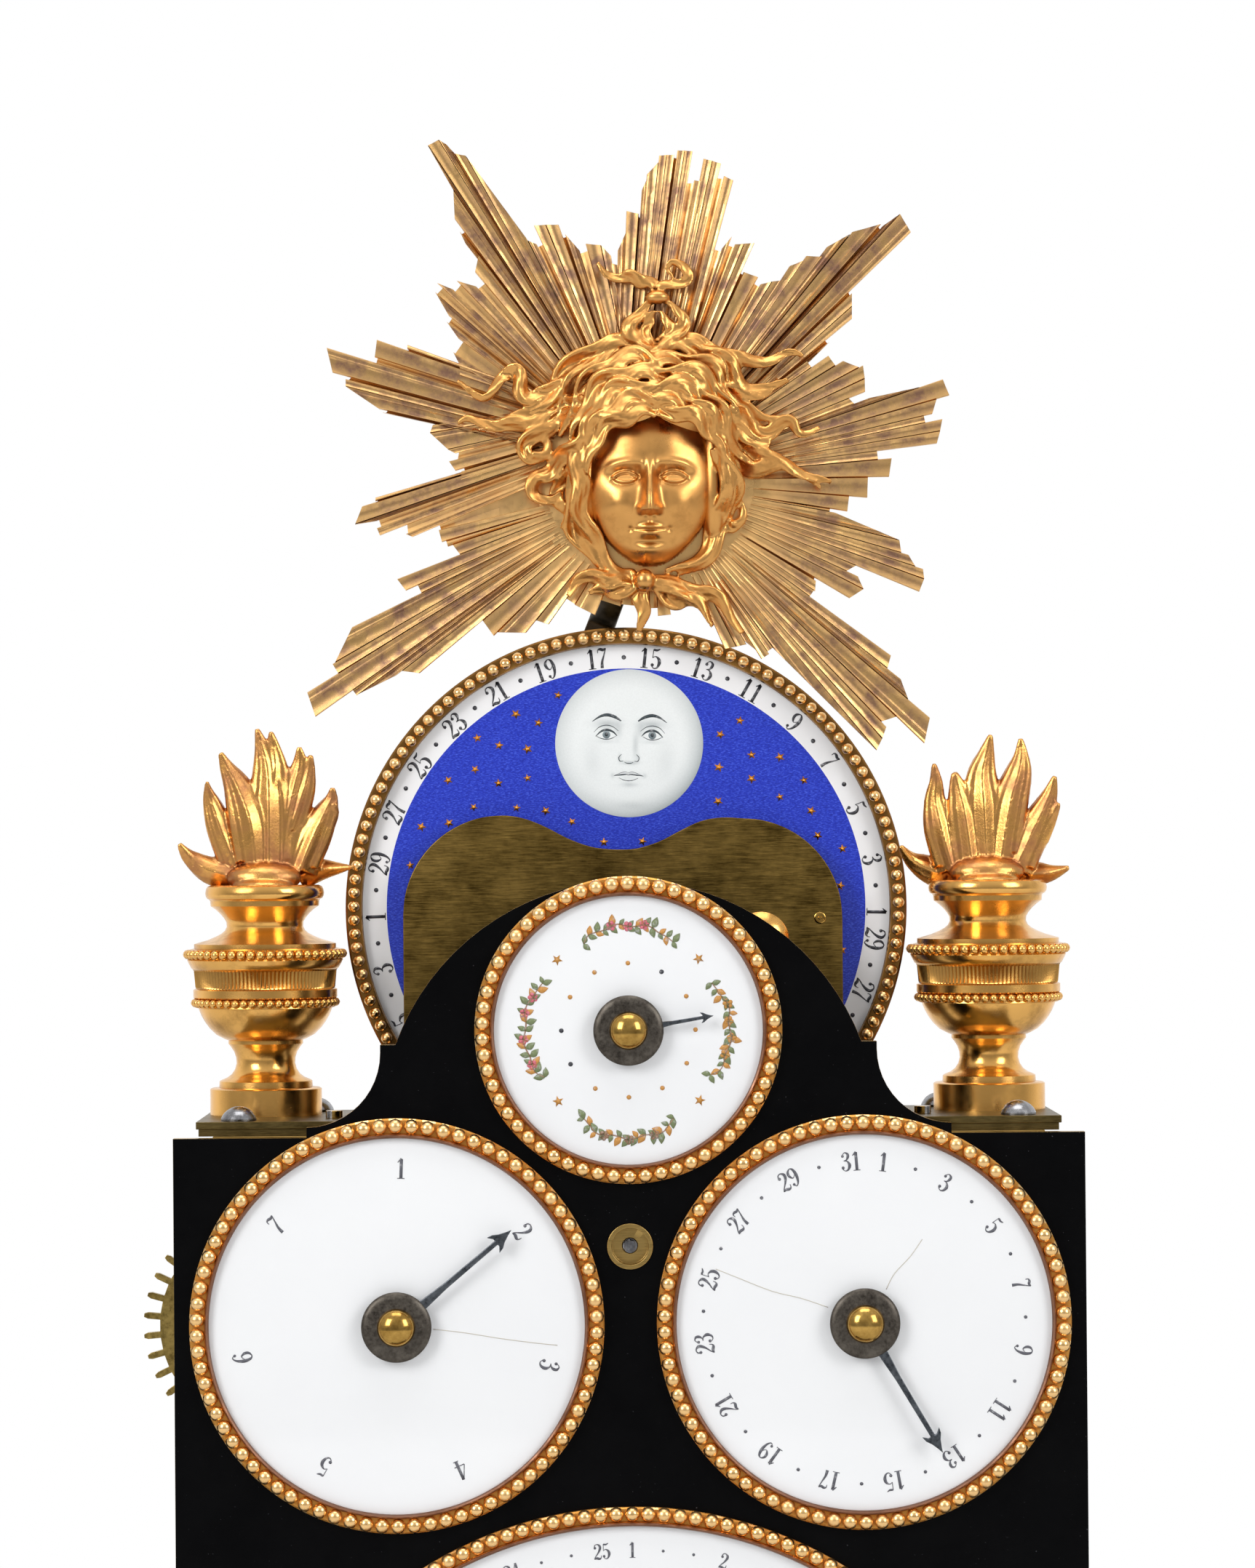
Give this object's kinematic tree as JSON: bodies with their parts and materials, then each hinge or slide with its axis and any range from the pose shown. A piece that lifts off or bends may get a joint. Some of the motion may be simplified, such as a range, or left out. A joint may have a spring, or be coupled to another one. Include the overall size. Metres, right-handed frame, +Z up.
{
  "type": "astronomical clock",
  "caption": "Free-standing table clock with enamel calendar dials on an arched black plate, a moon dial behind it, flaming urns, a sunburst with a mask and a pendulum movement.",
  "frame": {"origin": "middle of the surface that the four feet stand on", "axes": "+Z up, the dials face -Y, +X to the right as the viewer sees the dials"},
  "size_m": [0.236, 0.15, 0.5254],
  "materials": {
    "stone": "polished black marble",
    "gilt": "mercury-gilt bronze, burnished and matt",
    "dark_gilt": "gilding darkened with age",
    "lacquer": "black lacquer over brass, worn at the edges",
    "brass": "lacquered yellow brass",
    "old_brass": "tarnished sheet brass",
    "steel": "grained steel",
    "blued_steel": "dark blued steel",
    "enamel": "white vitreous enamel on copper",
    "blue_enamel": "painted vitreous enamel on copper"
  },
  "bodies": {
    "root": {"plinth": "stone", "plinth_moulding": "gilt", "plinth_feet": "gilt", "facade_plate": "lacquer", "train_front_plate": "brass", "train_back_plate": "brass", "frame_pillars": "brass", "frame_screws": "blued_steel", "shelf_bars": "brass", "shelf_lower_plates": "brass", "shelf_upper_plates": "brass", "shelf_screws": "steel", "urn_left": "gilt", "urn_right": "gilt", "flame_left": "gilt", "flame_right": "gilt", "main_dial": "enamel", "main_bezel": "gilt", "weekday_dial": "enamel", "weekday_bezel": "gilt", "date_dial": "enamel", "date_bezel": "gilt", "season_dial": "enamel", "season_bezel": "gilt", "plate_bushes": "brass", "moon_pan": "brass", "moon_bezel": "dark_gilt", "moon_shield": "old_brass", "shield_boss": "gilt", "moon_foot": "brass", "sunburst_strap": "steel", "sunburst_rays": "gilt", "sun_mask": "gilt", "bell": "brass", "pendulum_cock": "brass"},
    "minute": {"minute_hand": "blued_steel", "centre_arbor": "steel"},
    "hour": {"hour_hand": "blued_steel", "hour_wheel": "brass"},
    "motion": {"motion_wheel": "brass"},
    "year": {"year_hand": "gilt", "year_wheel": "brass"},
    "weekday": {"weekday_hand": "blued_steel", "weekday_arbor": "steel"},
    "day": {"day_wheel": "brass"},
    "date": {"date_hand": "blued_steel", "date_wheel": "brass"},
    "season": {"season_hand": "blued_steel", "season_wheel": "brass"},
    "setting": {"setting_arbor": "steel"},
    "moon": {"moon_disc": "blue_enamel", "moon_wheel": "brass"},
    "going": {"going_barrel": "brass"},
    "strike": {"strike_barrel": "brass"},
    "second": {"second_wheel": "brass"},
    "third": {"third_wheel": "brass"},
    "escape": {"escape_wheel": "brass"},
    "anchor": {"anchor": "steel"},
    "pendulum": {"pendulum": "gilt"},
    "hammer": {"bell_hammer": "steel"}
  },
  "joints": [
    {"name": "minute_turn", "type": "hinge", "parent": "root", "child": "minute", "pos_m": [0, 0, 0.156], "axis": [0, 1, 0], "continuous": true},
    {"name": "hour_turn", "type": "hinge", "parent": "root", "child": "hour", "pos_m": [0, 0, 0.156], "axis": [0, 1, 0], "continuous": true},
    {"name": "motion_turn", "type": "hinge", "parent": "root", "child": "motion", "pos_m": [0, 0, 0.174], "axis": [0, 1, 0], "continuous": true},
    {"name": "second_turn", "type": "hinge", "parent": "root", "child": "second", "pos_m": [0.02169, 0, 0.1737], "axis": [0, 1, 0], "continuous": true},
    {"name": "third_turn", "type": "hinge", "parent": "root", "child": "third", "pos_m": [-0.01301, 0, 0.17738], "axis": [0, 1, 0], "continuous": true},
    {"name": "escape_turn", "type": "hinge", "parent": "root", "child": "escape", "pos_m": [0, 0, 0.19318], "axis": [0, 1, 0], "continuous": true},
    {"name": "going_barrel_turn", "type": "hinge", "parent": "root", "child": "going", "pos_m": [0.038, 0, 0.135], "axis": [0, 1, 0], "continuous": true},
    {"name": "strike_barrel_turn", "type": "hinge", "parent": "root", "child": "strike", "pos_m": [-0.038, 0, 0.135], "axis": [0, 1, 0], "continuous": true},
    {"name": "year_turn", "type": "hinge", "parent": "root", "child": "year", "pos_m": [0, 0, 0.156], "axis": [0, 1, 0], "continuous": true},
    {"name": "day_wheel_turn", "type": "hinge", "parent": "root", "child": "day", "pos_m": [-0.0763, 0, 0.27581], "axis": [0, 1, 0], "continuous": true},
    {"name": "weekday_turn", "type": "hinge", "parent": "root", "child": "weekday", "pos_m": [-0.0481, 0, 0.27581], "axis": [0, 1, 0], "continuous": true},
    {"name": "date_turn", "type": "hinge", "parent": "root", "child": "date", "pos_m": [0.0481, 0, 0.27581], "axis": [0, 1, 0], "continuous": true},
    {"name": "season_turn", "type": "hinge", "parent": "root", "child": "season", "pos_m": [0, 0, 0.33632], "axis": [0, 1, 0], "continuous": true},
    {"name": "setting_turn", "type": "hinge", "parent": "root", "child": "setting", "pos_m": [0, 0, 0.29172], "axis": [0, 1, 0], "continuous": true},
    {"name": "moon_turn", "type": "hinge", "parent": "root", "child": "moon", "pos_m": [0, 0, 0.36102], "axis": [0, 1, 0], "continuous": true},
    {"name": "pendulum_swing", "type": "hinge", "parent": "root", "child": "pendulum", "pos_m": [0, 0, 0.21518], "axis": [0, 1, 0], "range_deg": [-4, 4]},
    {"name": "anchor_rock", "type": "hinge", "parent": "root", "child": "anchor", "pos_m": [0, 0, 0.21518], "axis": [0, 1, 0], "range_deg": [-4, 4]},
    {"name": "hammer_swing", "type": "hinge", "parent": "root", "child": "hammer", "pos_m": [0.036, 0, 0.22618], "axis": [0, 1, 0], "range_deg": [0, 14], "stiffness_Nm_per_rad": 0.02, "springref_deg": -5.73}
  ],
  "couplings": [
    {"joint": "hour_turn", "follows": "minute_turn", "ratio": 0.083333},
    {"joint": "motion_turn", "follows": "minute_turn", "ratio": -0.33333},
    {"joint": "second_turn", "follows": "minute_turn", "ratio": -0.16667},
    {"joint": "third_turn", "follows": "minute_turn", "ratio": -12},
    {"joint": "escape_turn", "follows": "minute_turn", "ratio": 144},
    {"joint": "going_barrel_turn", "follows": "minute_turn", "ratio": 0.027778},
    {"joint": "weekday_turn", "follows": "day_wheel_turn", "ratio": -5},
    {"joint": "setting_turn", "follows": "season_turn", "ratio": -1.6875},
    {"joint": "anchor_rock", "follows": "pendulum_swing", "ratio": 1}
  ]
}
